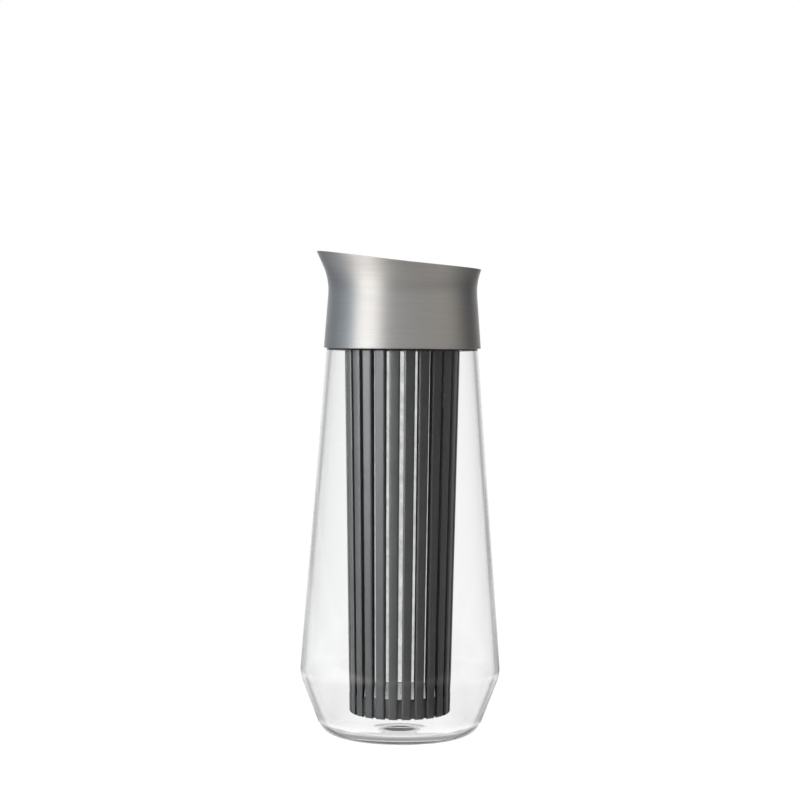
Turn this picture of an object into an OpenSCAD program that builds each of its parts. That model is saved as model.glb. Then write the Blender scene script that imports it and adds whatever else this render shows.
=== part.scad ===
// Cold brew carafe: glass bottle, steel lid with a pour flap, hanging strainer.
// Millimetres, +Z up, spout towards -X, standing on z = 0.

/* [Bottle] */
// Diameter at which the two glass cones would meet
hip_d = 105.4; // [101:0.2:112]
// Height of that meeting line
hip_z = 32; // [28:1:40]
// Diameter at which the lower cone would reach the table
foot_d = 81; // [77:0.5:86]
// Diameter at which the upper cone would meet the shoulder ledge
shoulder_d = 79; // [77:0.2:83]
// Height of the shoulder ledge
shoulder_z = 206.2; // [194:0.2:218]
// Width of the ledge between shoulder and neck
ledge_w = 2.2; // [2.2:0.1:2.6]
// Height of the neck above the ledge
neck_h = 15.8; // [15.6:0.2:18.4]
// Thickness of the glass wall
glass_wall = 2.4; // [2.2:0.1:2.6]
// Thickness of the glass floor
floor_t = 3.2; // [2.8:0.1:4]
// Rounding of the hip
hip_round = 8; // [4:0.5:12]
// Rounding of the foot
foot_round = 9.5; // [6:0.5:11]
// Diameter of the dimple under the floor
punt_d = 30; // [20:1:40]
// Rise of that dimple
punt_h = 1.6; // [1:0.1:2]

/* [Lid sleeve] */
// Overhang of the sleeve beyond the shoulder
sleeve_over = 1.7; // [1.6:0.1:2.3]
// Depth by which the sleeve laps over the shoulder
sleeve_lap = 3.2; // [2.8:0.1:3.6]
// Thickness of the steel
steel_t = 0.8; // [0.6:0.1:1]
// Height of the waist corner above the neck rim
waist_h = 16.7; // [15:0.1:19]
// Lean of the flare from the vertical
flare_angle = 24.7; // [18:0.1:28]
// Radius of the bend at the waist
flare_round = 31; // [20:1:34]
// Height of the spout tip above the neck rim
spout_h = 31.6; // [29:0.1:36]
// Height of the back of the rim above the neck rim
back_h = 22.5; // [20:0.1:25]
// Radius of the crown that the rim is cut to, across the pour
rim_crown_r = 920; // [600:10:2000]

/* [Lid core] */
// Play between core and sleeve
core_fit = 0.08; // [0.05:0.01:0.12]
// Wall of the core around the neck
skirt_t = 1.3; // [1:0.1:1.4]
// Height of the skirt's lower edge above the ledge
skirt_lift = 0.6; // [0.4:0.1:2]
// Play between plug and neck
plug_play = 1.3; // [1.2:0.05:1.5]
// Height of the plug's lower edge above the sleeve's
plug_lift = 0.8; // [0.8:0.1:1]
// Depth of the pour deck below the neck rim
deck_drop = 1; // [0.8:0.1:1.4]
// Thickness of the pour deck
deck_t = 3; // [2.8:0.1:3.2]
// Height of the funnel above the neck rim
funnel_h = 7.5; // [7:0.1:8.5]
// Diameter of the pour opening
pour_d = 27; // [26:0.5:28]
// Distance of the pour opening from the axis, towards the spout
pour_shift = 5; // [4:0.5:6]

/* [Seals] */
// Depth of the gasket's groove in the plug
gasket_seat = 0.3; // [0.2:0.05:0.4]
// Height of the gasket
gasket_h = 9; // [8.4:0.2:9.4]
// Thickness of the gasket's band
gasket_band = 0.65; // [0.5:0.05:0.7]
// Gap between the gasket's lips and the glass
gasket_gap = 0.15; // [0.1:0.01:0.2]
// Thickness of the ring between core and sleeve
ring_d = 1.6; // [1.4:0.1:1.8]
// Width of the flap seal
flap_seal_w = 1.8; // [1.5:0.1:2]
// Height of the flap seal
flap_seal_h = 1.6; // [1.4:0.1:1.8]
// Play of a seal in its groove
seal_fit = 0.03; // [0.02:0.01:0.05]

/* [Pour flap] */
// Overlap of the flap around the pour opening
flap_lap = 3; // [2.8:0.1:3.1]
// Thickness of the flap
flap_t = 2.6; // [2.4:0.1:3]
// Height of the seat around the pour opening
seat_h = 0.6; // [0.4:0.1:0.8]
// Distance of the hinge from the edge of the pour opening
hinge_back = 4.7; // [4.6:0.1:5.2]
// Height of the hinge above the deck
hinge_h = 3.4; // [3.2:0.1:3.8]
// Diameter of the hinge pin
pin_d = 2; // [1.8:0.1:2.4]
// Play of the flap on its pin
pin_play = 0.05; // [0.03:0.01:0.08]
// Play of the pin in its ears
pin_grip = 0.02; // [0.015:0.005:0.03]
// Wall of the hinge barrel around the pin
barrel_wall = 1.4; // [1.2:0.1:1.5]
// Length of the hinge barrel
barrel_w = 13; // [12:0.5:14]
// Thickness of each ear
ear_t = 2.2; // [2:0.1:2.6]
// Gap between barrel and ear
ear_gap = 0.3; // [0.2:0.05:0.5]
// Length of the pendulum below the hinge
arm_drop = 13; // [12.6:0.1:13.4]
// Distance of the pendulum from the hinge, towards the spout
arm_ahead = 8.7; // [8.4:0.1:9]
// Diameter of the weight
weight_d = 10; // [8:0.5:10.5]
// Length of the weight
weight_w = 16; // [12:0.5:17]
// Wall of the eye around the weight
eye_wall = 1.8; // [1.4:0.1:1.8]

/* [Strainer] */
// Gap between strainer and neck
strainer_gap = 4.5; // [4.4:0.05:4.8]
// Narrowing of the strainer from top to bottom, on the diameter
strainer_draft = 7.6; // [4:0.2:9]
// Height of the strainer above the table
strainer_z = 11.5; // [9:0.5:18]
// Depth of the strainer's upper edge below the neck rim
strainer_drop = 9; // [8:0.1:9.2]
// Wall of the strainer
rib_h = 1.8; // [1.6:0.1:2.4]
// Number of ribs
rib_count = 24; // [20:1:26]
// Width of each slot
slot_w = 2.1; // [1.6:0.1:2.3]
// Width of the bevel at each slot edge
bevel_w = 0.8; // [0.6:0.1:1.2]
// Depth of the bevel at each slot edge
bevel_h = 0.5; // [0.4:0.1:1]
// Height of the solid base cup
cup_h = 10.5; // [8:0.5:20]
// Depth of the grooves that run on down the base cup
cup_groove = 1.4; // [1:0.1:1.5]
// Depth of the strainer's floor below the slots
floor_drop = 2.2; // [1.6:0.1:3]
// Thickness of that floor
cup_floor = 2.2; // [1.8:0.1:3]
// Wall around the hollow under that floor, at the grooves
cup_wall = 1.8; // [1.4:0.1:2.4]
// Rounding at the bottom edge of the base cup
cup_round = 1.2; // [0.8:0.1:1.4]
// Thickness of the filter mesh
mesh_t = 0.4; // [0.3:0.05:0.6]
// Play between mesh and ribs
mesh_fit = 0.05; // [0.03:0.01:0.08]

/* [Bayonet] */
// Play between strainer and plug
collar_play = 0.3; // [0.25:0.05:0.4]
// Reach of each lug beyond that play
lug_reach = 1.1; // [1:0.05:1.2]
// Height of each lug
lug_h = 2.4; // [2:0.1:2.6]
// Thickness of the ledge under each lug
lug_ledge = 4; // [3:0.1:4]
// Play around each lug
lug_play = 0.3; // [0.2:0.05:0.4]
// Angle that each lug spans
lug_angle = 24; // [18:1:28]
// Turn that frees the strainer
lug_turn = 35; // [32:1:45]

/* [Hidden] */
$fn = 96;
eps = 0.01;

// Bottle
foot_r = foot_d / 2;
hip_r = hip_d / 2;
shoulder_r = shoulder_d / 2;
neck_r = shoulder_r - ledge_w;
bore_r = neck_r - glass_wall;
rim_z = shoulder_z + neck_h;
taper = (hip_r - shoulder_r) / (shoulder_z - hip_z);

// Lid
sleeve_r = shoulder_r + sleeve_over;
sleeve_z = shoulder_z - sleeve_lap;
waist_z = rim_z + waist_h;
spout_z = rim_z + spout_h;
back_z = rim_z + back_h;
plug_r = bore_r - plug_play;
plug_z = sleeve_z + plug_lift;
skirt_z = shoulder_z + skirt_lift;
funnel_z = rim_z + funnel_h;
deck_z = rim_z - deck_drop;
gasket_r = plug_r - gasket_seat;
gasket_z = plug_z + 1.2;
ring_z = rim_z + funnel_h * 0.6;

// Flap
pour_r = pour_d / 2;
seat_r = pour_r + flap_seal_w + 0.4;
flap_r = pour_r + flap_lap;
flap_gap = seat_h + flap_seal_h / 2;
hinge_x = pour_r + hinge_back - pour_shift;
hinge_z = deck_z + hinge_h;
barrel_r = pin_d / 2 + pin_play + barrel_wall;
ear_r = barrel_r + 0.2;
ear_y = barrel_w / 2 + ear_gap;
pin_w = 2 * (ear_y + ear_t);
arm_x = hinge_x - arm_ahead;
arm_z = hinge_z - arm_drop;
eye_r = weight_d / 2 + eye_wall;

// Strainer
strainer_top_z = rim_z - strainer_drop;
strainer_h = strainer_top_z - strainer_z;
strainer_r = bore_r - strainer_gap;
strainer_foot_r = strainer_r - strainer_draft / 2;
strainer_lean = atan((strainer_r - strainer_foot_r) / strainer_h);
slot_z = strainer_z + cup_h;
slot_top_z = plug_z + 0.4;
socket_r = strainer_r + collar_play;
lug_r = socket_r + lug_reach;
lug_z = plug_z + lug_ledge;

// Outer radius of the sleeve below its waist, at height z: it carries on the bottle's own taper
function sleeve_at(z) = sleeve_r - taper * (z - sleeve_z);

// Outer radius of the flare at height z
function flare_at(z) = sleeve_at(waist_z) + tan(flare_angle) * (z - waist_z);

// Inner radius of the sleeve below its waist
function sleeve_bore(z) = sleeve_at(z) - steel_t;

// Outer radius of the strainer at height z
function strainer_at(z) = strainer_foot_r + tan(strainer_lean) * (z - strainer_z);

function unit(v) = v / norm(v);
function turn_left(v) = [-v[1], v[0]];

// Corner b of the path a, b, c, moved by d to the left of the path
function inset(a, b, c, d) =
    let (n = turn_left(unit(b - a)), m = turn_left(unit(c - b)), k = unit(n + m)) b + k * d / (k * n);

// Arc of radius r in place of corner b
function bend(a, b, c, r, steps) =
    let (
        u = unit(a - b),
        v = unit(c - b),
        half = acos(u * v) / 2,
        o = b + unit(u + v) * r / sin(half),
        p = b + u * r / tan(half) - o,
        q = b + v * r / tan(half) - o,
        from = atan2(p[1], p[0]),
        raw = atan2(q[1], q[0]) - from,
        sweep = raw > 180 ? raw - 360 : raw < -180 ? raw + 360 : raw
    )
    [for (i = [0 : steps]) o + r * [cos(from + sweep * i / steps), sin(from + sweep * i / steps)]];

// Closed outline from corners [x, y, radius]
function rounded(corners, steps = 8) =
    let (n = len(corners), at = function (i) [corners[i % n][0], corners[i % n][1]])
    [
        for (i = [0 : n - 1])
            each corners[i][2] > 0
                ? bend(at(i + n - 1), at(i), at(i + 1), corners[i][2], steps)
                : [at(i)]
    ];

module bottle_glass() {
    foot = [foot_r, 0];
    hip = [hip_r, hip_z];
    shoulder = [shoulder_r, shoulder_z];
    inner_hip = inset(foot, hip, shoulder, glass_wall);
    inner_foot = inset([0, 0], foot, hip, glass_wall) + [0, floor_t - glass_wall];
    inner_top_z = shoulder_z - glass_wall;
    inner_top_r = shoulder_r + (taper - norm([1, taper])) * glass_wall;
    steps = 8;
    dome = [for (i = [0 : steps - 1]) [punt_d / 2 * i / steps, punt_h * pow(1 - pow(i / steps, 2), 2), 0]];
    above = [for (i = [steps - 1 : -1 : 0]) dome[i] + [0, floor_t, 0]];
    outside = [
        [punt_d / 2, 0, 0],
        [foot_r, 0, foot_round],
        [hip_r, hip_z, hip_round],
        [shoulder_r, shoulder_z, 1.8],
        [neck_r, shoulder_z, 0.5],
        [neck_r, rim_z, 0.7]
    ];
    inside = [
        [bore_r, rim_z, 0.7],
        [bore_r, inner_top_z, glass_wall * 0.3],
        [inner_top_r, inner_top_z, glass_wall * 0.5],
        [inner_hip[0], inner_hip[1], hip_round],
        [inner_foot[0], inner_foot[1], foot_round - 2],
        [punt_d / 2, floor_t, 0]
    ];
    color("lightcyan", 0.35)
        rotate_extrude()
            polygon(rounded(concat(dome, outside, inside, above)));
}

// Everything under the rim of the lid, which is slanted and slightly crowned
module under_rim() {
    spout_r = flare_at(spout_z);
    back_r = flare_at(back_z);
    slant = atan((spout_z - back_z) / (spout_r + back_r));
    translate([(back_r - spout_r) / 2, 0, (spout_z + back_z) / 2])
        rotate([0, slant, 0])
            translate([0, 0, -rim_crown_r])
                rotate([0, 90, 0])
                    cylinder(r = rim_crown_r, h = 4 * sleeve_r, center = true, $fn = 1440);
}

module lid_sleeve() {
    top_z = spout_z + 4;
    wall = rounded([
        [sleeve_r, sleeve_z, 0],
        [sleeve_at(waist_z), waist_z, flare_round],
        [flare_at(top_z), top_z, 0]
    ], 12);
    inner = [for (i = [len(wall) - 1 : -1 : 0]) wall[i] - [steel_t, 0]];
    color("silver")
        intersection() {
            rotate_extrude()
                polygon(concat(wall, inner));
            under_rim();
        }
}

// Channels in the plug that take the strainer's lugs: each lug enters from below, then turns onto its ledge
module bayonet_channels() {
    play_a = 0.5;
    inner = socket_r - 1;
    turn_r = lug_r + lug_play;
    entry_r = turn_r + 0.1;
    for (i = [0 : 2]) {
        rotate([0, 0, 120 * i - lug_angle / 2 - play_a])
            rotate_extrude(angle = lug_angle / 2 + play_a + lug_turn)
                translate([inner, lug_z])
                    square([turn_r - inner, lug_h + lug_play]);
        rotate([0, 0, 120 * i + lug_turn - lug_angle / 2 - play_a])
            rotate_extrude(angle = lug_angle + 2 * play_a)
                translate([inner, plug_z - 1])
                    square([entry_r - inner, lug_ledge + lug_h + 1.5]);
    }
}

module hinge_ears() {
    for (side = [-1, 1])
        translate([hinge_x, side * (ear_y + ear_t / 2), hinge_z])
            rotate([90, 0, 0])
                difference() {
                    union() {
                        cylinder(r = ear_r, h = ear_t, center = true);
                        translate([-ear_r, -hinge_h - 0.5, -ear_t / 2])
                            cube([2 * ear_r, hinge_h + 0.5, ear_t]);
                    }
                    cylinder(d = pin_d + 2 * pin_grip, h = ear_t + 2, center = true);
                }
}

module lid_core() {
    skirt_top_r = sleeve_bore(funnel_z) - core_fit;
    section = [
        [socket_r, plug_z, 0],
        [plug_r, plug_z, 0],
        [plug_r, gasket_z, 0],
        [gasket_r, gasket_z, 0],
        [gasket_r, gasket_z + gasket_h, 0],
        [plug_r, gasket_z + gasket_h, 0],
        [plug_r, rim_z, 0],
        [sleeve_bore(rim_z) - core_fit - skirt_t, rim_z, 0],
        [sleeve_bore(skirt_z) - core_fit - skirt_t, skirt_z, 0],
        [sleeve_bore(skirt_z) - core_fit, skirt_z, 0],
        [skirt_top_r, funnel_z, 0],
        [skirt_top_r - 0.4, funnel_z, 0],
        [socket_r, rim_z + 0.5, 1.6],
        [socket_r, deck_z, 0.6],
        [0, deck_z, 0],
        [0, deck_z - deck_t, 0],
        [socket_r, deck_z - deck_t, 0]
    ];
    ring_root = sleeve_bore(ring_z) - 2 * seal_fit - ring_d;
    color("#3a3a3c")
        union() {
            difference() {
                union() {
                    rotate_extrude()
                        polygon(rounded(section));
                    translate([-pour_shift, 0, deck_z - eps])
                        cylinder(r = seat_r, h = seat_h + eps);
                }
                translate([-pour_shift, 0, deck_z - deck_t - 1])
                    cylinder(r = pour_r, h = deck_t + seat_h + 2);
                rotate_extrude()
                    translate([ring_root, ring_z - ring_d / 2 - 0.2])
                        square([ring_d + 1, ring_d + 0.4]);
                bayonet_channels();
            }
            hinge_ears();
        }
}

module neck_gasket() {
    root = gasket_r + seal_fit;
    band = root + gasket_band;
    lip = bore_r - gasket_gap;
    pitch = gasket_h / 3;
    lips = [
        for (i = [0 : 2])
            each [
                [band, gasket_z + seal_fit + pitch * i + 0.3],
                [lip, gasket_z + pitch * i + 1.2],
                [lip, gasket_z + pitch * i + 1.6],
                [band, gasket_z + pitch * i + 2]
            ]
    ];
    color("#222222")
        rotate_extrude()
            polygon(concat(
                [[root, gasket_z + seal_fit], [band, gasket_z + seal_fit]],
                lips,
                [[band, gasket_z + gasket_h - seal_fit], [root, gasket_z + gasket_h - seal_fit]]
            ));
}

module sleeve_seal() {
    color("#222222")
        rotate_extrude()
            translate([sleeve_bore(ring_z) - seal_fit - ring_d / 2, ring_z])
                circle(d = ring_d);
}

module pour_flap() {
    under_z = deck_z + flap_gap;
    groove_h = flap_seal_h / 2;
    plate = rounded([
        [0, 0, 0],
        [flap_r, 0, 0.5],
        [flap_r, flap_t, 1],
        [flap_r * 0.5, flap_t - 0.5, 20],
        [0, flap_t - 0.5, 0]
    ]);
    color("#3a3a3c")
        difference() {
            union() {
                translate([-pour_shift, 0, under_z])
                    rotate_extrude()
                        polygon(plate);
                translate([arm_x, -barrel_w / 2, under_z])
                    cube([hinge_x - arm_x, barrel_w, flap_t - 0.5]);
                translate([hinge_x, 0, hinge_z])
                    rotate([90, 0, 0])
                        cylinder(r = barrel_r, h = barrel_w, center = true);
                translate([arm_x - 2, -3, arm_z])
                    cube([4, 6, under_z - arm_z + 1]);
                translate([arm_x, 0, arm_z])
                    rotate([90, 0, 0])
                        cylinder(r = eye_r, h = 6, center = true);
            }
            translate([hinge_x, 0, hinge_z])
                rotate([90, 0, 0])
                    cylinder(d = pin_d + 2 * pin_play, h = barrel_w + 2, center = true);
            translate([arm_x, 0, arm_z])
                rotate([90, 0, 0])
                    cylinder(d = weight_d + 2 * seal_fit, h = 8, center = true);
            translate([-pour_shift, 0, under_z - 1])
                difference() {
                    cylinder(r = pour_r + 0.2 + flap_seal_w + seal_fit, h = groove_h + 1);
                    cylinder(r = pour_r + 0.2 - seal_fit, h = groove_h + 1);
                }
        }
}

module flap_seal() {
    color("#222222")
        translate([-pour_shift, 0, deck_z + seat_h])
            difference() {
                cylinder(r = pour_r + 0.2 + flap_seal_w, h = flap_seal_h);
                translate([0, 0, -1])
                    cylinder(r = pour_r + 0.2, h = flap_seal_h + 2);
            }
}

module flap_pin() {
    color("silver")
        translate([hinge_x, 0, hinge_z])
            rotate([90, 0, 0])
                cylinder(d = pin_d, h = pin_w, center = true);
}

module flap_weight() {
    chamfer = 0.8;
    half = weight_w / 2;
    color("silver")
        translate([arm_x, 0, arm_z])
            rotate([90, 0, 0])
                rotate_extrude()
                    polygon([
                        [0, -half],
                        [weight_d / 2 - chamfer, -half],
                        [weight_d / 2, chamfer - half],
                        [weight_d / 2, half - chamfer],
                        [weight_d / 2 - chamfer, half],
                        [0, half]
                    ]);
}

// Gap between two ribs, bevelled at the strainer's outer face and open at the bottom
module rib_gap() {
    flank = bevel_w / bevel_h;
    low = strainer_z - 1;
    translate([strainer_at(low), 0, low])
        rotate([0, strainer_lean, 0])
            linear_extrude((slot_top_z - low) / cos(strainer_lean))
                polygon([
                    [-rib_h - 1, -slot_w / 2],
                    [-bevel_h, -slot_w / 2],
                    [1, -slot_w / 2 - flank * (1 + bevel_h)],
                    [1, slot_w / 2 + flank * (1 + bevel_h)],
                    [-bevel_h, slot_w / 2],
                    [-rib_h - 1, slot_w / 2]
                ]);
}

module strainer_frame() {
    ribs = [
        [strainer_foot_r - rib_h, strainer_z, 0],
        [strainer_foot_r, strainer_z, cup_round],
        [strainer_r, strainer_top_z, 0.4],
        [strainer_r - rib_h, strainer_top_z, 0.4]
    ];
    cup_z = strainer_z + 0.3;
    cup_bore = rib_h + mesh_fit + mesh_t;
    floor_top = slot_z - floor_drop;
    hollow_r = strainer_at(cup_z) - cup_groove - cup_wall;
    cup = [
        [0, floor_top - cup_floor, 0],
        [hollow_r, floor_top - cup_floor, 1],
        [hollow_r, cup_z, 0.4],
        [strainer_at(cup_z) - cup_groove, cup_z, 1],
        [strainer_at(slot_z) - cup_groove, slot_z, 0],
        [strainer_at(slot_z) - cup_bore, slot_z, 0],
        [strainer_at(floor_top) - cup_bore, floor_top, 1],
        [0, floor_top, 0]
    ];
    color("#3a3a3c")
        union() {
            difference() {
                rotate_extrude()
                    polygon(rounded(ribs));
                for (i = [0 : rib_count - 1])
                    rotate([0, 0, 360 / rib_count * i - 90])
                        rib_gap();
            }
            rotate_extrude()
                polygon(rounded(cup));
            for (i = [0 : 2])
                rotate([0, 0, 120 * i - lug_angle / 2])
                    rotate_extrude(angle = lug_angle)
                        translate([strainer_r - 1, lug_z])
                            square([lug_r - strainer_r + 1, lug_h]);
        }
}

// The mesh stands on the rim of the base cup, flush with its inside
module strainer_mesh() {
    low = slot_z + mesh_fit;
    high = slot_top_z + 4;
    gap = rib_h + mesh_fit;
    color("#55575a")
        rotate_extrude()
            polygon([
                [strainer_at(low) - gap - mesh_t, low],
                [strainer_at(low) - gap, low],
                [strainer_at(high) - gap, high],
                [strainer_at(high) - gap - mesh_t, high]
            ]);
}

bottle_glass();
lid_sleeve();
lid_core();
neck_gasket();
sleeve_seal();
pour_flap();
flap_seal();
flap_pin();
flap_weight();
strainer_frame();
strainer_mesh();
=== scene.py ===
import functools
import math

import bmesh
import bpy
from mathutils import Matrix, Vector


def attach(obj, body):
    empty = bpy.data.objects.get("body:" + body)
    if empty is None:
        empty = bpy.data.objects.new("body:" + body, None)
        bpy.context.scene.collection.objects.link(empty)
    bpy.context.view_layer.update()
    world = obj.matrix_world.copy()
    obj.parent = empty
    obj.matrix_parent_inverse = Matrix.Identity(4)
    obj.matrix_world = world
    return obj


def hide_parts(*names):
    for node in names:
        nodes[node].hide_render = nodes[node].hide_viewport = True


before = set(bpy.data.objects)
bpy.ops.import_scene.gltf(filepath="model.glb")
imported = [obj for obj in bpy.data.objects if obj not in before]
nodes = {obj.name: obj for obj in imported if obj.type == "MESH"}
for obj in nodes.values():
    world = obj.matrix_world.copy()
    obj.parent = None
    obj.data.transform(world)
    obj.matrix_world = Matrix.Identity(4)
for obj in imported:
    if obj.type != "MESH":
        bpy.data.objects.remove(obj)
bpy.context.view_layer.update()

scene = bpy.context.scene
scene.view_settings.view_transform = "Standard"

MM = 0.001
WHITE = (1, 1, 1, 1)

# Sizes in millimetres, as in the part's source but for the three that say otherwise

# Bottle
HIP_R, HIP_Z = 52.7, 32.0
HIP_ROUND, INNER_HIP_ROUND = 16.0, 14.0  # softer than in the source
FOOT_R, FOOT_ROUND = 40.5, 9.5
SHOULDER_R, SHOULDER_Z, SHOULDER_ROUND = 39.5, 206.2, 1.8
SHOULDER_WALL = 3.2  # thicker than in the source
LEDGE = 2.2
RIM_Z, RIM_ROUND = 222.0, 0.7
WALL = 2.4
FLOOR = 3.2
PUNT_R, PUNT_H = 15.0, 1.6
TAPER = (HIP_R - SHOULDER_R) / (SHOULDER_Z - HIP_Z)
NECK_R = SHOULDER_R - LEDGE
BORE_R = NECK_R - WALL

# Steel sleeve of the lid
SLEEVE_R, SLEEVE_Z = 41.2, 203.0
STEEL = 0.8
WAIST_Z = RIM_Z + 16.7
WAIST_R = SLEEVE_R - TAPER * (WAIST_Z - SLEEVE_Z)
FLARE = math.tan(math.radians(24.7))
FLARE_ROUND = 31.0
SPOUT_Z, BACK_Z = RIM_Z + 31.6, RIM_Z + 22.5
CROWN_R = 920.0

# Strainer
STRAINER_TOP_R, STRAINER_FOOT_R = 30.4, 26.6
STRAINER_Z, STRAINER_TOP_Z = 11.5, 213.0
STRAINER_TAPER = (STRAINER_TOP_R - STRAINER_FOOT_R) / (STRAINER_TOP_Z - STRAINER_Z)
SLOT_Z, SLOT_TOP_Z, SLOT_W = 22.0, 204.2, 2.1
RIBS = 24
RIB_H = 1.8
RIB_FOOT_ROUND = 1.2
BEVEL_W, BEVEL_H = 0.8, 0.5
CUP_GROOVE = 1.4
CUP_WALL = 1.8
CUP_FLOOR = 2.2
FLOOR_DROP = 0.3  # less than in the source
LUGS = 3
LUG_Z, LUG_H = 207.8, 2.4
LUG_R, LUG_ROOT_R = 31.8, 29.2


# Outlines


def unit(v):
    n = math.hypot(*v)
    return (v[0] / n, v[1] / n)


def bend(a, b, c, r, steps):
    """Points of an arc of radius r in place of corner b of the path a, b, c."""
    u = unit((a[0] - b[0], a[1] - b[1]))
    v = unit((c[0] - b[0], c[1] - b[1]))
    half = math.acos(max(-1, min(1, u[0] * v[0] + u[1] * v[1]))) / 2
    m = unit((u[0] + v[0], u[1] + v[1]))
    o = (b[0] + m[0] * r / math.sin(half), b[1] + m[1] * r / math.sin(half))
    t = r / math.tan(half)
    start = math.atan2(b[1] + u[1] * t - o[1], b[0] + u[0] * t - o[0])
    turn = math.atan2(b[1] + v[1] * t - o[1], b[0] + v[0] * t - o[0]) - start
    turn = (turn + math.pi) % (2 * math.pi) - math.pi
    angles = [start + turn * i / steps for i in range(steps + 1)]
    return [(o[0] + r * math.cos(a), o[1] + r * math.sin(a)) for a in angles]


def rounded(corners, steps=10, closed=False):
    """A path from corners (x, y, radius), with an arc at each corner that has a radius."""
    out = []
    n = len(corners)
    for i, (x, y, r) in enumerate(corners):
        if r <= 0 or (not closed and i in (0, n - 1)):
            out.append((x, y))
        else:
            out += bend(corners[i - 1][:2], (x, y), corners[(i + 1) % n][:2], r, steps)
    return out


def inset(a, b, c, d):
    """Corner b of the path a, b, c, moved by d to the left of the path."""
    u = unit((b[0] - a[0], b[1] - a[1]))
    v = unit((c[0] - b[0], c[1] - b[1]))
    n = (-u[1], u[0])
    m = (-v[1], v[0])
    k = unit((n[0] + m[0], n[1] + m[1]))
    s = d / (k[0] * n[0] + k[1] * n[1])
    return (b[0] + k[0] * s, b[1] + k[1] * s)


def on_way(a, b, share):
    """The point at a share of the way from a to b."""
    return (a[0] + (b[0] - a[0]) * share, a[1] + (b[1] - a[1]) * share)


def resample(path, step):
    """The same path with points no further apart than step."""
    out = [path[0]]
    for a, b in zip(path, path[1:]):
        n = max(1, math.ceil(math.dist(a, b) / step))
        out += [on_way(a, b, i / n) for i in range(1, n + 1)]
    return out


def walker(line):
    """A function that gives the point at a length along a line, and the line's whole length."""
    lengths = [0.0]
    for a, b in zip(line, line[1:]):
        lengths.append(lengths[-1] + math.dist(a, b))

    def at(length):
        i = 0
        while i < len(line) - 2 and length > lengths[i + 1]:
            i += 1
        return on_way(line[i], line[i + 1], (length - lengths[i]) / (lengths[i + 1] - lengths[i]))

    return at, lengths[-1]


# Meshes


def new_object(name, bm):
    """An object in the scene, from a finished bmesh."""
    mesh = bpy.data.meshes.new(name)
    bm.to_mesh(mesh)
    bm.free()
    obj = bpy.data.objects.new(name, mesh)
    scene.collection.objects.link(obj)
    return obj


def add_piece(name, bm, body, smooth_angle):
    """A piece of the part that moves with a body, smooth but for edges sharper than an angle."""
    bmesh.ops.recalc_face_normals(bm, faces=bm.faces[:])
    obj = new_object(name, bm)
    obj.data.shade_smooth()
    obj.data.set_sharp_from_angle(angle=math.radians(smooth_angle))
    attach(obj, body)
    return obj


def spot(bm, angle, out, z, across=0.0):
    """A vertex so far out at an angle around Z and across that direction, in millimetres."""
    c, s = math.cos(angle), math.sin(angle)
    return bm.verts.new(((out * c - across * s) * MM, (out * s + across * c) * MM, z * MM))


def bridge(bm, low, high):
    """Faces from one ring of vertices to the next. A ring of one vertex is a tip."""
    n = max(len(low), len(high))
    for i in range(n):
        j = (i + 1) % n
        corners = (low[i % len(low)], low[j % len(low)], high[j % len(high)], high[i % len(high)])
        bm.faces.new(list(dict.fromkeys(corners)))


def tube(bm, rings):
    """Faces along rings of vertices, closed at both ends."""
    for low, high in zip(rings, rings[1:]):
        bridge(bm, low, high)
    bm.faces.new(rings[0])
    bm.faces.new(rings[-1])


def lathe(bm, path, segments, closed=False):
    """Turns a path of (r, z) in millimetres about Z. A point on the axis becomes one vertex."""
    rings = []
    for r, z in path:
        count = segments if r > 1e-6 else 1
        rings.append([spot(bm, 2 * math.pi * i / segments, r, z) for i in range(count)])
    following = rings[1:] + rings[:1] if closed else rings[1:]
    for low, high in zip(rings, following):
        bridge(bm, low, high)


# Bottle


def punt(level, steps=12):
    """The raised middle of the base, from the axis outwards, over a level."""
    shares = [i / steps for i in range(steps)]
    return [(PUNT_R * s, level + PUNT_H * (1 - s**2) ** 2, 0) for s in shares]


def make_glass():
    """The bottle: outside and inside in one turned outline."""
    foot, hip, shoulder = (FOOT_R, 0.0), (HIP_R, HIP_Z), (SHOULDER_R, SHOULDER_Z)
    inner_hip = inset(foot, hip, shoulder, WALL)
    inner_foot = inset((0, 0), foot, hip, WALL)
    inner_shoulder_z = SHOULDER_Z - SHOULDER_WALL
    inner_shoulder_r = SHOULDER_R + TAPER * SHOULDER_WALL - math.hypot(1, TAPER) * WALL
    outside = [
        (PUNT_R, 0, 0),
        (FOOT_R, 0, FOOT_ROUND),
        (HIP_R, HIP_Z, HIP_ROUND),
        (SHOULDER_R, SHOULDER_Z, SHOULDER_ROUND),
        (NECK_R, SHOULDER_Z, 0.5),
        (NECK_R, RIM_Z, RIM_ROUND),
    ]
    inside = [
        (BORE_R, RIM_Z, RIM_ROUND),
        (BORE_R, inner_shoulder_z, 0.6),
        (inner_shoulder_r, inner_shoulder_z, 1.5),
        (*inner_hip, INNER_HIP_ROUND),
        (inner_foot[0], inner_foot[1] + FLOOR - WALL, FOOT_ROUND - 2),
        (PUNT_R, FLOOR, 0),
    ]
    path = rounded(punt(0) + outside + inside + punt(FLOOR)[::-1])
    bm = bmesh.new()
    lathe(bm, resample(path, 6), 192)
    obj = add_piece("bottle_blown", bm, "bottle", 60)
    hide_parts("bottle_glass")
    return obj


# Steel sleeve


def flare_r(z):
    """Radius of the flared part of the steel at a height."""
    return WAIST_R + FLARE * (z - WAIST_Z)


def sleeve_line():
    """The outside of the steel from its lower edge to above the spout."""
    top = SPOUT_Z + 4
    corners = [(SLEEVE_R, SLEEVE_Z, 0), (WAIST_R, WAIST_Z, FLARE_ROUND), (flare_r(top), top, 0)]
    return resample(rounded(corners, 24), 1.0)


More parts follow.
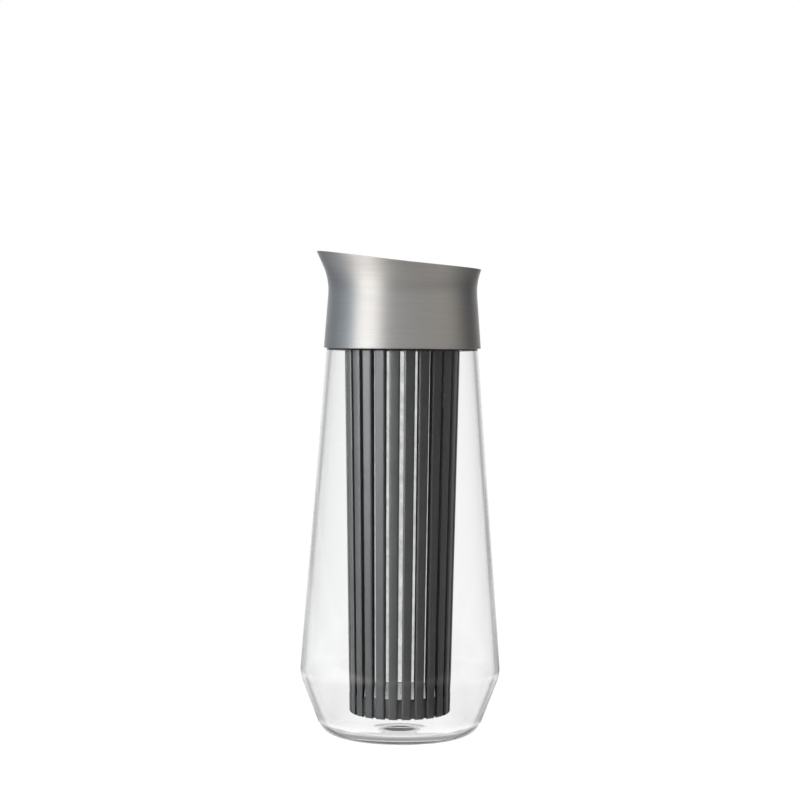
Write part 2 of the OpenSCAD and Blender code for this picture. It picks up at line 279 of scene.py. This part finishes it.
def rim_height(x, y):
    """Height of the slanted, crowned rim over a point."""
    spout_r, back_r = flare_r(SPOUT_Z), flare_r(BACK_Z)
    slope = (SPOUT_Z - BACK_Z) / (spout_r + back_r)
    plane = SPOUT_Z - slope * (x + spout_r)
    return plane - (CROWN_R - math.sqrt(CROWN_R**2 - y * y)) * math.hypot(1, slope)


def rim_length(at, whole, angle):
    """The length along the sleeve's line at which it meets the rim, at an angle around Z."""
    low, high = 0.0, whole
    for _ in range(40):
        middle = (low + high) / 2
        r, z = at(middle)
        if z < rim_height(r * math.cos(angle), r * math.sin(angle)):
            low = middle
        else:
            high = middle
    return low


def steel_section(at, end):
    """The steel's outline: outer face, rounded lip, inner face and rounded lower edge."""
    rows, steps = 48, 6
    half = STEEL / 2
    outer = [at(half + (end - STEEL) * i / rows) for i in range(rows + 1)]
    first, before, tip = outer[0], outer[-2], outer[-1]
    d = unit((tip[0] - before[0], tip[1] - before[1]))
    turns = [math.pi * i / steps for i in range(1, steps)]
    arc = [(half * (1 - math.cos(turn)), half * math.sin(turn)) for turn in turns]
    lip = [(tip[0] - over + d[0] * out, tip[1] + d[1] * out) for over, out in arc]
    inner = [(r - STEEL, z) for r, z in reversed(outer)]
    hem = [(first[0] - STEEL + over, first[1] - out) for over, out in arc]
    return outer + lip + inner + hem


def make_sleeve():
    """The lid's steel, cut off along the slanted rim."""
    at, whole = walker(sleeve_line())
    segments = 192
    bm = bmesh.new()
    columns = []
    for k in range(segments):
        angle = 2 * math.pi * k / segments
        section = steel_section(at, rim_length(at, whole, angle))
        columns.append([spot(bm, angle, r, z) for r, z in section])
    rings = list(zip(*columns))
    for low, high in zip(rings, rings[1:] + rings[:1]):
        bridge(bm, low, high)
    obj = add_piece("sleeve_spun", bm, "lid", 60)
    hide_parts("lid_sleeve")
    return obj


# Strainer


def strainer_r(z):
    """Radius of the strainer's outside at a height."""
    return STRAINER_FOOT_R + STRAINER_TAPER * (z - STRAINER_Z)


def rib_section(z):
    """Section of one rib at height z, as (across, outwards)."""
    r = strainer_r(z)
    pitch = math.pi / RIBS
    half_in = (r - RIB_H) * math.sin(pitch) - SLOT_W / 2
    half_side = (r - BEVEL_H) * math.sin(pitch) - SLOT_W / 2
    half_face = half_side - BEVEL_W + BEVEL_H * math.sin(pitch)
    edge = r * math.cos(half_face / r)
    corners = [
        (-half_in, r - RIB_H, 0.15),
        (half_in, r - RIB_H, 0.15),
        (half_side, r - BEVEL_H, 0.15),
        (half_face, edge, 0.2),
        (0, r, 0),
        (-half_face, edge, 0.2),
        (-half_side, r - BEVEL_H, 0.15),
    ]
    # the face stands back on the rounded foot
    left = max(0.0, STRAINER_Z + RIB_FOOT_ROUND - z)
    limit = r - RIB_FOOT_ROUND + math.sqrt(max(0.0, RIB_FOOT_ROUND**2 - left**2))
    return [(x, min(y, limit)) for x, y in rounded(corners, 3, closed=True)]


def rib_heights():
    """Levels of a rib's sections, close together on its rounded foot."""
    steps, rows = 6, 16
    turns = [math.pi / 2 * i / steps for i in range(steps + 1)]
    start = STRAINER_Z + RIB_FOOT_ROUND + 2
    rise = (SLOT_TOP_Z + 1 - start) / rows
    foot = [STRAINER_Z + RIB_FOOT_ROUND * (1 - math.cos(turn)) for turn in turns]
    return foot + [start + rise * i for i in range(rows + 1)]


def make_ribs(bm):
    """The ribs from the foot into the collar, with a slot at the front and at the back."""
    for k in range(RIBS):
        angle = 2 * math.pi * (k + 0.5) / RIBS - math.pi / 2
        rings = []
        for z in rib_heights():
            rings.append([spot(bm, angle, out, z, across) for across, out in rib_section(z)])
        tube(bm, rings)


def make_collar(bm):
    """The ring at the top, inside the lid."""
    low_r = strainer_r(SLOT_TOP_Z)
    corners = [
        (low_r, SLOT_TOP_Z, 0.3),
        (STRAINER_TOP_R, STRAINER_TOP_Z, 0.4),
        (STRAINER_TOP_R - RIB_H, STRAINER_TOP_Z, 0.4),
        (low_r - RIB_H, SLOT_TOP_Z, 0.3),
    ]
    lathe(bm, rounded(corners, 4, closed=True), 144, closed=True)


def make_cup(bm):
    """The base cup between the ribs, hollow below its floor."""
    cup_z = STRAINER_Z + 0.3
    floor_z = SLOT_Z - FLOOR_DROP
    bore = RIB_H + 0.45
    hollow_r = strainer_r(cup_z) - CUP_GROOVE - CUP_WALL
    corners = [
        (0, floor_z - CUP_FLOOR, 0),
        (hollow_r, floor_z - CUP_FLOOR, 1.0),
        (hollow_r, cup_z, 0.4),
        (strainer_r(cup_z) - CUP_GROOVE, cup_z, 1.0),
        (strainer_r(SLOT_Z) - CUP_GROOVE, SLOT_Z, 0.4),
        (strainer_r(SLOT_Z) - bore, SLOT_Z, 0.1),
        (strainer_r(floor_z) - bore, floor_z, 0.1),
        (0, floor_z, 0),
    ]
    lathe(bm, rounded(corners, 5), 144)


def make_lugs(bm):
    """The lugs of the bayonet, eased at both ends."""
    steps, step_deg = 12, 2
    top = LUG_Z + LUG_H
    for k in range(LUGS):
        rings = []
        for i in range(steps + 1):
            angle = math.radians(360 / LUGS * k + step_deg * (i - steps / 2))
            ease = 0.25 if i in (0, steps) else 0.0
            section = (
                (LUG_ROOT_R, LUG_Z + ease),
                (LUG_R - ease, LUG_Z + ease),
                (LUG_R, LUG_Z + 0.3),
                (LUG_R, top - 0.3),
                (LUG_R - ease - 0.2, top - ease),
                (LUG_ROOT_R, top - ease),
            )
            rings.append([spot(bm, angle, r, z) for r, z in section])
        tube(bm, rings)


def make_strainer():
    bm = bmesh.new()
    for make in (make_ribs, make_collar, make_cup, make_lugs):
        make(bm)
    obj = add_piece("strainer_moulded", bm, "strainer", 25)
    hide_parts("strainer_frame")
    return obj


# Materials


class Nodes:
    """Short forms for building the node tree of a material or of the world."""

    def __init__(self, owner, output="ShaderNodeOutputMaterial"):
        owner.use_nodes = True
        self.owner = owner
        self.tree = owner.node_tree
        self.tree.nodes.clear()
        self.out = self.add(output)

    def add(self, kind, **values):
        node = self.tree.nodes.new(kind)
        for key, value in values.items():
            setattr(node, key, value)
        return node

    def link(self, source, target):
        self.tree.links.new(source, target)

    def fill(self, socket, value):
        """Gives a socket a constant value, or links it to another socket."""
        if isinstance(value, bpy.types.NodeSocket):
            self.link(value, socket)
        else:
            socket.default_value = value

    def surface(self, shader):
        """Makes a shader the surface, and returns what owns the tree."""
        self.link(shader.outputs[0], self.out.inputs["Surface"])
        return self.owner

    # Shaders

    def shader(self, kind, **values):
        node = self.add(kind)
        for key, value in values.items():
            self.fill(node.inputs[key.replace("_", " ")], value)
        return node

    def principled(self, **values):
        return self.shader("ShaderNodeBsdfPrincipled", **values)

    def emission(self, **values):
        return self.shader("ShaderNodeEmission", **values)

    def clear(self, colour=WHITE):
        return self.shader("ShaderNodeBsdfTransparent", Color=colour)

    def mix(self, share, first, second):
        """The first shader, with a share of the second."""
        node = self.add("ShaderNodeMixShader")
        for socket, source in zip(node.inputs, (share, first.outputs[0], second.outputs[0])):
            self.link(source, socket)
        return node

    # Numbers

    def math(self, operation, *values, clamp=False):
        node = self.add("ShaderNodeMath", operation=operation, use_clamp=clamp)
        for socket, value in zip(node.inputs, values):
            self.fill(socket, value)
        return node.outputs[0]

    def plus(self, *values):
        return functools.reduce(lambda a, b: self.math("ADD", a, b), values)

    def minus(self, first, second):
        return self.math("SUBTRACT", first, second)

    def times(self, *values):
        return functools.reduce(lambda a, b: self.math("MULTIPLY", a, b), values)

    def over(self, first, second):
        return self.math("DIVIDE", first, second)

    def most(self, *values):
        return functools.reduce(lambda a, b: self.math("MAXIMUM", a, b), values)

    def rest(self, share):
        return self.minus(1.0, share)

    def spread(self, share, low, high):
        """A share from 0 to 1, spread from low to high."""
        node = self.add("ShaderNodeMapRange")
        node.inputs["To Min"].default_value = low
        node.inputs["To Max"].default_value = high
        self.link(share, node.inputs["Value"])
        return node.outputs["Result"]

    def between(self, value, none, full):
        """0 up to one value and 1 from another on, smooth between."""
        node = self.add("ShaderNodeMapRange", interpolation_type="SMOOTHSTEP")
        node.inputs["From Min"].default_value = none
        node.inputs["From Max"].default_value = full
        self.link(value, node.inputs["Value"])
        return node.outputs["Result"]

    # Places and patterns

    def place(self):
        """The object's own coordinates."""
        return self.add("ShaderNodeTexCoord").outputs["Object"]

    def split(self, vector):
        node = self.add("ShaderNodeSeparateXYZ")
        self.link(vector, node.inputs[0])
        return [node.outputs[k] for k in "XYZ"]

    def noise(self, scale, detail=2.0, stretch=(1, 1, 1), rough=0.5):
        mapping = self.add("ShaderNodeMapping")
        mapping.inputs["Scale"].default_value = stretch
        self.link(self.place(), mapping.inputs["Vector"])
        noise = self.add("ShaderNodeTexNoise")
        noise.inputs["Scale"].default_value = scale
        noise.inputs["Detail"].default_value = detail
        noise.inputs["Roughness"].default_value = rough
        self.link(mapping.outputs["Vector"], noise.inputs["Vector"])
        return noise.outputs["Fac"]

    def table(self, value, stops):
        """Colours over a value from 0 to 1, from stops of (position, colour)."""
        node = self.add("ShaderNodeValToRGB")
        elements = node.color_ramp.elements
        while len(elements) < len(stops):
            elements.new(0.5)
        for element, (position, colour) in zip(elements, stops):
            element.position = position
            element.color = (*colour, 1)
        self.link(value, node.inputs["Fac"])
        return node.outputs["Color"]

    def mottle(self, noise, dark, light):
        """A noise as patches of two colours."""
        return self.table(noise, [(0.3, dark), (0.7, light)])

    def bump(self, height, distance, strength):
        node = self.add("ShaderNodeBump")
        node.inputs["Strength"].default_value = strength
        node.inputs["Distance"].default_value = distance
        self.link(height, node.inputs["Height"])
        return node.outputs["Normal"]

    def moulded(self, grain):
        """A fine grain over slightly rounded edges."""
        edge = self.add("ShaderNodeBevel", samples=4)
        edge.inputs["Radius"].default_value = 0.15 * MM
        normal = self.bump(grain, 0.03 * MM, 0.25)
        self.link(edge.outputs["Normal"], normal.node.inputs["Normal"])
        return normal

    # Light paths

    def path(self, output):
        return self.add("ShaderNodeLightPath").outputs[output]

    def after(self, depth):
        """1 for a ray that has been bounced so at least once, with depth an output of Light Path."""
        return self.math("GREATER_THAN", self.path(depth), 0.5)

    def by_ray(self, seen, mirrored, other):
        """Strengths for rays from the camera, also through glass, for mirrors and for the rest.

        Rays that the glass has mirrored inside lose a little.
        """
        loss = self.times(self.after("Glossy Depth"), 0.12)
        lost = self.most(self.after("Diffuse Depth"), loss)
        through = self.times(self.path("Is Transmission Ray"), self.rest(lost))
        straight = self.most(self.path("Is Camera Ray"), through)
        mirror = self.math("SUBTRACT", self.path("Is Glossy Ray"), straight, clamp=True)
        more = self.plus(self.times(straight, seen - other), self.times(mirror, mirrored - other))
        return self.plus(more, other)


def new_material(name):
    return Nodes(bpy.data.materials.new(name))


def glass_material():
    """Clear glass with a slight wave, which lamps shine through."""
    t = new_material("blown_glass")
    wave = t.noise(14, 1.0, (1, 1, 0.5))
    glass = t.principled(
        Base_Color=(0.997, 0.999, 0.999, 1),
        Roughness=0.0,
        IOR=1.47,
        Transmission_Weight=1.0,
        Normal=t.bump(wave, 0.4 * MM, 0.25),
    )
    return t.surface(t.mix(t.path("Is Shadow Ray"), glass, t.clear((0.93, 0.94, 0.94, 1))))


def brushed_material(name, colour, rough, lines):
    """Steel with brushing that runs around the axis."""
    t = new_material(name)
    tangent = t.add("ShaderNodeTangent", direction_type="RADIAL", axis="Z")
    fine = t.noise(lines, 3.0, (0.012, 0.012, 1.0), 0.7)
    broad = t.noise(lines * 0.12, 2.0, (0.05, 0.05, 1.0))
    dark = [0.93 * c for c in colour]
    light = [1.05 * c for c in colour]
    steel = t.principled(
        Base_Color=t.mottle(fine, dark, light),
        Metallic=1.0,
        Roughness=t.spread(broad, rough - 0.05, rough + 0.07),
        Anisotropic=0.55,
        Anisotropic_Rotation=0.25,
        Tangent=tangent.outputs[0],
        Normal=t.bump(fine, 0.02 * MM, 0.15),
    )
    return t.surface(steel)


def plastic_material(name, dark, light, rough, grain=900):
    """Moulded plastic or rubber with a fine grain, slightly mottled."""
    t = new_material(name)
    patch = t.noise(60, 3.0)
    plastic = t.principled(
        Base_Color=t.mottle(patch, dark, light),
        Roughness=t.spread(patch, rough - 0.05, rough + 0.06),
        IOR=1.49,
        Normal=t.moulded(t.noise(grain)),
    )
    return t.surface(plastic)


def strainer_material():
    """The strainer's plastic: satin ribs, painted shade in the gaps between them and a smooth floor
    inside.
    """
    t = new_material("strainer_plastic")
    patch = t.noise(60, 3.0)
    face = t.mottle(patch, (0.046, 0.046, 0.048), (0.058, 0.058, 0.06))
    x, y, z = t.split(t.place())
    radius = t.math("SQRT", t.plus(t.times(x, x), t.times(y, y)))
    outer = t.plus(t.times(z, STRAINER_TAPER), strainer_r(0) * MM)
    # painted shade: deep in the gaps between the ribs, above the cup, the plastic turns near black
    deep = t.between(t.minus(outer, radius), 0.4 * MM, 0.9 * MM)
    above_cup = t.between(z, (SLOT_Z - 1) * MM, SLOT_Z * MM)
    painted_gap_shade = t.add("ShaderNodeMix", data_type="RGBA")
    painted_gap_shade.inputs["B"].default_value = (0.008, 0.008, 0.008, 1)
    t.link(t.times(deep, above_cup), painted_gap_shade.inputs["Factor"])
    t.link(face, painted_gap_shade.inputs["A"])
    up = t.split(t.add("ShaderNodeNewGeometry").outputs["Normal"])[2]
    smooth = t.between(up, 0.9, 0.98)
    plastic = t.principled(
        Base_Color=painted_gap_shade.outputs["Result"],
        Roughness=t.times(t.spread(patch, 0.27, 0.34), t.minus(1.1, smooth)),
        IOR=1.58,
        Coat_Weight=t.times(smooth, 0.6),
        Coat_Roughness=0.03,
        Normal=t.moulded(t.noise(900)),
    )
    return t.surface(plastic)


def mesh_material():
    """Fine dark filter cloth that lets most of the light through."""
    t = new_material("filter_cloth")
    cloth = t.principled(Base_Color=(0.015, 0.015, 0.015, 1), Roughness=0.7)
    open_share = t.spread(t.noise(260, 3.0, (1, 1, 0.6)), 0.78, 1.04)
    return t.surface(t.mix(open_share, cloth, t.clear()))


# Pieces

bottle = make_glass()
sleeve = make_sleeve()
strainer = make_strainer()

lid_plastic = plastic_material("lid_plastic", (0.05, 0.05, 0.052), (0.075, 0.075, 0.078), 0.42)
silicone = plastic_material("silicone", (0.022, 0.022, 0.023), (0.035, 0.035, 0.036), 0.6, 500)
turned = brushed_material("turned_steel", (0.6, 0.59, 0.58), 0.34, 1800)

bottle.data.materials.append(glass_material())
sleeve.data.materials.append(brushed_material("brushed_steel", (0.65, 0.64, 0.623), 0.45, 2600))
strainer.data.materials.append(strainer_material())
for name, material in (
    ("lid_core", lid_plastic),
    ("pour_flap", lid_plastic),
    ("neck_gasket", silicone),
    ("sleeve_seal", silicone),
    ("flap_seal", silicone),
    ("flap_pin", turned),
    ("flap_weight", turned),
    ("strainer_mesh", mesh_material()),
):
    for slot in nodes[name].material_slots:
        slot.material = material


# Camera, at the photograph's place

PICTURE_PX, FOCAL_PX = 800, 2138
SENSOR = 36
EYE = (-0.00103, -1.12315, 0.21495)
DOWN_DEG, ROLL_DEG = 2.0, 0.42

camera = bpy.data.objects.new("camera", bpy.data.cameras.new("camera"))
scene.collection.objects.link(camera)
camera.data.sensor_width = SENSOR
camera.data.lens = FOCAL_PX / PICTURE_PX * SENSOR
camera.data.clip_start = 0.05
camera.data.clip_end = 40
tilt = Matrix.Rotation(math.radians(90 - DOWN_DEG), 4, "X")
roll = Matrix.Rotation(math.radians(ROLL_DEG), 4, "Z")
camera.matrix_world = Matrix.Translation(EYE) @ tilt @ roll
scene.camera = camera


# Stage and light, in metres

# The screen around the set: azimuth, colour in mirrors, share of that low on the screen,
# brightness through glass
SCREEN = (
    (-180, (1.0, 1.0, 1.0), 1.0, 1.0),
    (-166, (1.0, 1.0, 1.0), 1.0, 1.0),
    (-152, (0.52, 0.53, 0.55), 1.0, 0.55),
    (-125, (0.3, 0.31, 0.33), 0.7, 0.5),
    (-98, (0.51, 0.67, 0.82), 0.2, 0.3),
    (-10, (0.52, 0.52, 0.54), 0.1, 0.1),
    (30, (0.45, 0.44, 0.43), 0.1, 0.1),
    (82, (0.73, 0.7, 0.64), 0.15, 0.2),
    (106, (0.19, 0.19, 0.19), 0.4, 0.4),
    (126, (0.05, 0.05, 0.055), 1.0, 0.45),
    (152, (0.43, 0.43, 0.44), 1.0, 0.5),
    (166, (1.0, 1.0, 1.0), 1.0, 1.0),
    (180, (1.0, 1.0, 1.0), 1.0, 1.0),
)
SCREEN_R, SCREEN_LOW, SCREEN_TOP = 3.0, -0.2, 3.2

# The floor in mirrors: azimuth and colour
FLOOR_SHINE = (
    (-180, (0.5, 0.5, 0.5)),
    (-130, (0.3, 0.31, 0.33)),
    (-95, (0.48, 0.5, 0.54)),
    (-58, (1.9, 1.83, 1.77)),
    (-22, (0.58, 0.57, 0.56)),
    (70, (0.48, 0.46, 0.45)),
    (95, (0.27, 0.27, 0.27)),
    (125, (0.17, 0.17, 0.17)),
    (180, (0.5, 0.5, 0.5)),
)

# Share of that by distance from the axis
FLOOR_RINGS = (
    (0, 0.0),
    (0.12, 0.0),
    (0.22, 0.85),
    (0.42, 0.85),
    (0.6, 1.2),
    (0.85, 1.2),
    (1.2, 0.2),
)
RINGS_END = 1.5
FLOOR_SIZE = 12
FLOOR_GAP = 0.0003

# How bright the floor is to the camera, and how much painted shade takes off that where parts of the
# glass show the floor
FLOOR_SEEN = 1.04
DIM_UNDER_PUNT = 0.85
DIM_UNDER_FOOT = 0.9
DIM_BESIDE = 0.55
DIM_FAR_LEFT, DIM_FAR_RIGHT = 0.22, 0.37

# Zones of the floor by distance from the axis: where each is not yet and where it is full
UNDER_PUNT = (0.0095, 0.0075)
FOOT_INNER, FOOT_OUTER = (0.0315, 0.035), (0.042, 0.037)
CLEAR_OF_FOOT = (0.049, 0.054)
CLOSE = (0.2, 0.12)
NEAR = (0.24, 0.16)
FAR = (0.12, 0.2)
HORIZON = (0.8, 1.2)

# Zones of it by direction: the share of the distance that is to the back or to the side
FRONT, BEHIND = (-0.1, -0.4), (0.9, 0.97)
TO_SIDES, TO_RIGHT = (0.6, 0.85), (-0.3, 0.3)


def grey(level):
    return (level, level, level)


def by_azimuth(t, stops):
    """Colours by azimuth around the carafe, counted from the camera and to the right."""
    x, y, _ = t.split(t.place())
    azimuth = t.math("ARCTAN2", x, t.times(y, -1))
    share = t.plus(t.over(azimuth, 2 * math.pi), 0.5)
    return t.table(share, [(degrees / 360 + 0.5, colour) for degrees, colour in stops])


def make_world():
    """White to the camera, dimmer in mirrors and dim as a source of light."""
    scene.world = bpy.data.worlds.new("studio")
    t = Nodes(scene.world, "ShaderNodeOutputWorld")
    t.surface(t.shader("ShaderNodeBackground", Color=WHITE, Strength=t.by_ray(1.0, 0.5, 0.13)))


def floor_material():
    """Pale paper that looks white to the camera. In and through the glass its zones differ, and some
    carry painted shadow and painted shade.
    """
    t = new_material("floor")
    x, y, _ = t.split(t.place())
    length = t.add("ShaderNodeVectorMath", operation="LENGTH")
    t.link(t.place(), length.inputs[0])
    away = length.outputs["Value"]
    back, right = t.over(y, away), t.over(x, away)
    front = t.between(back, *FRONT)
    behind = t.between(back, *BEHIND)
    far = t.between(away, *FAR)
    clear_of_foot = t.between(away, *CLEAR_OF_FOOT)
    clear_front = t.times(front, clear_of_foot)
    bounced = t.after("Glossy Depth")

    # painted shade on the front, which the inside of the carafe's near wall would mirror over the
    # strainer
    near_wall = t.math("LESS_THAN", t.path("Transmission Depth"), 2.5)
    front_mirror_shade = t.times(clear_front, near_wall, bounced)
    # painted shadows on the places under the glass that little light gets to: the hollow and where
    # the foot stands
    hollow = t.times(t.between(away, *UNDER_PUNT), DIM_UNDER_PUNT)
    ring = t.times(t.between(away, *FOOT_INNER), t.between(away, *FOOT_OUTER), front)
    foot_shadow = t.times(ring, DIM_UNDER_FOOT, t.after("Transmission Depth"))
    # painted shade on the sides, which the edges of the glass show: close to the foot, and far away
    sideways = t.between(t.math("ABSOLUTE", right), *TO_SIDES)
    beside_shade = t.times(sideways, t.between(away, *CLOSE), DIM_BESIDE, bounced)
    dim_far = t.spread(t.between(right, *TO_RIGHT), DIM_FAR_LEFT, DIM_FAR_RIGHT)
    far_side_shade = t.times(t.rest(behind), far, dim_far, bounced)
    painted_floor_shade = t.most(front_mirror_shade, hollow, foot_shadow, beside_shade, far_side_shade)
    seen = t.times(t.by_ray(FLOOR_SEEN, 0.0, 0.0), t.rest(painted_floor_shade))

    # in mirrors, the floor is lit near the foot, all but its front, and far behind
    in_mirrors = t.by_ray(0.0, 1.0, 0.0)
    near_level = t.times(t.between(away, *NEAR), t.rest(clear_front), t.minus(1.7, clear_of_foot))
    far_level = t.times(t.spread(t.between(away, *HORIZON), 0.4, 0.9), behind, far)
    mirrored = t.times(t.plus(near_level, far_level), in_mirrors)
    stops = [(r / RINGS_END, grey(share)) for r, share in FLOOR_RINGS]
    rings = t.table(t.over(away, RINGS_END), stops)

    glow = t.emission(Color=WHITE, Strength=t.plus(seen, mirrored))
    shine = t.emission(Color=by_azimuth(t, FLOOR_SHINE), Strength=t.times(rings, in_mirrors))
    both = t.add("ShaderNodeAddShader")
    for socket, shader in zip(both.inputs, (glow, shine)):
        t.link(shader.outputs[0], socket)
    paper = t.principled(Base_Color=(*grey(0.6), 1), Roughness=0.9)
    return t.surface(t.mix(t.by_ray(0.96, 1.0, 0.0), paper, both))


def make_floor():
    bm = bmesh.new()
    bmesh.ops.create_grid(bm, x_segments=1, y_segments=1, size=FLOOR_SIZE)
    floor = new_object("floor", bm)
    floor.location.z = -FLOOR_GAP
    floor.data.materials.append(floor_material())


def screen_material():
    """Light of its own, by azimuth: one set of levels for mirrors and one for glass."""
    t = new_material("screen")
    mirrored = by_azimuth(t, [(degrees, colour) for degrees, colour, _, _ in SCREEN])
    low_share = by_azimuth(t, [(degrees, grey(share)) for degrees, _, share, _ in SCREEN])
    through = by_azimuth(t, [(degrees, grey(level)) for degrees, _, _, level in SCREEN])
    low = t.rest(t.between(t.split(t.place())[2], 0.5, 0.95))
    shine = t.emission(Color=mirrored, Strength=t.rest(t.times(t.rest(low_share), low)))
    clear = t.emission(Color=through)
    return t.surface(t.mix(t.path("Is Transmission Ray"), shine, clear))


def make_screen():
    """A screen all round the set, as in a light tent, which only shiny surfaces and glass show."""
    bm = bmesh.new()
    lathe(bm, [(SCREEN_R / MM, z / MM) for z in (SCREEN_LOW, SCREEN_TOP)], 96)
    card = new_object("screen", bm)
    for kind in ("camera", "diffuse", "shadow", "volume_scatter"):
        setattr(card, "visible_" + kind, False)
    card.data.materials.append(screen_material())


def around(azimuth, distance, height):
    """A place around the carafe, its azimuth counted from the camera and to the right."""
    a = math.radians(azimuth)
    return (distance * math.sin(a), -distance * math.cos(a), height)


def softbox(name, place, aim, size, glow, lit=(), mirrored=True, colour=(1, 1, 1)):
    """A rectangular lamp of a given brightness. Where pieces are named, it lights only those.

    One that isn't mirrored doesn't show in smooth surfaces.
    """
    data = bpy.data.lights.new(name, "AREA")
    data.shape = "RECTANGLE"
    data.size, data.size_y = size
    data.energy = glow * math.pi * size[0] * size[1]
    data.color = colour
    data.cycles.use_multiple_importance_sampling = mirrored
    lamp = bpy.data.objects.new(name, data)
    scene.collection.objects.link(lamp)
    lamp.location = place
    lamp.rotation_euler = (Vector(aim) - Vector(place)).to_track_quat("-Z", "Y").to_euler()
    if lit:
        group = bpy.data.collections.new(name + "_lit")
        for obj in lit:
            group.objects.link(obj)
        lamp.light_linking.receiver_collection = group


make_world()
make_floor()
make_screen()
softbox(
    "lid_key",
    place=around(-53, 1.6, 0.45),
    aim=(0, 0, 0.25),
    size=(1.2, 0.95),
    glow=2.05,
    lit=[sleeve],
    colour=(1.0, 0.955, 0.925),
)
softbox(
    "side",
    place=around(-60, 1.5, 0.35),
    aim=(0, 0, 0.12),
    size=(2.5, 0.9),
    glow=8.0,
    lit=[strainer, nodes["strainer_mesh"]],
    mirrored=False,
)
softbox("top", place=(0.1, -0.2, 1.9), aim=(0, 0, 0.1), size=(1.2, 1.2), glow=1.8)
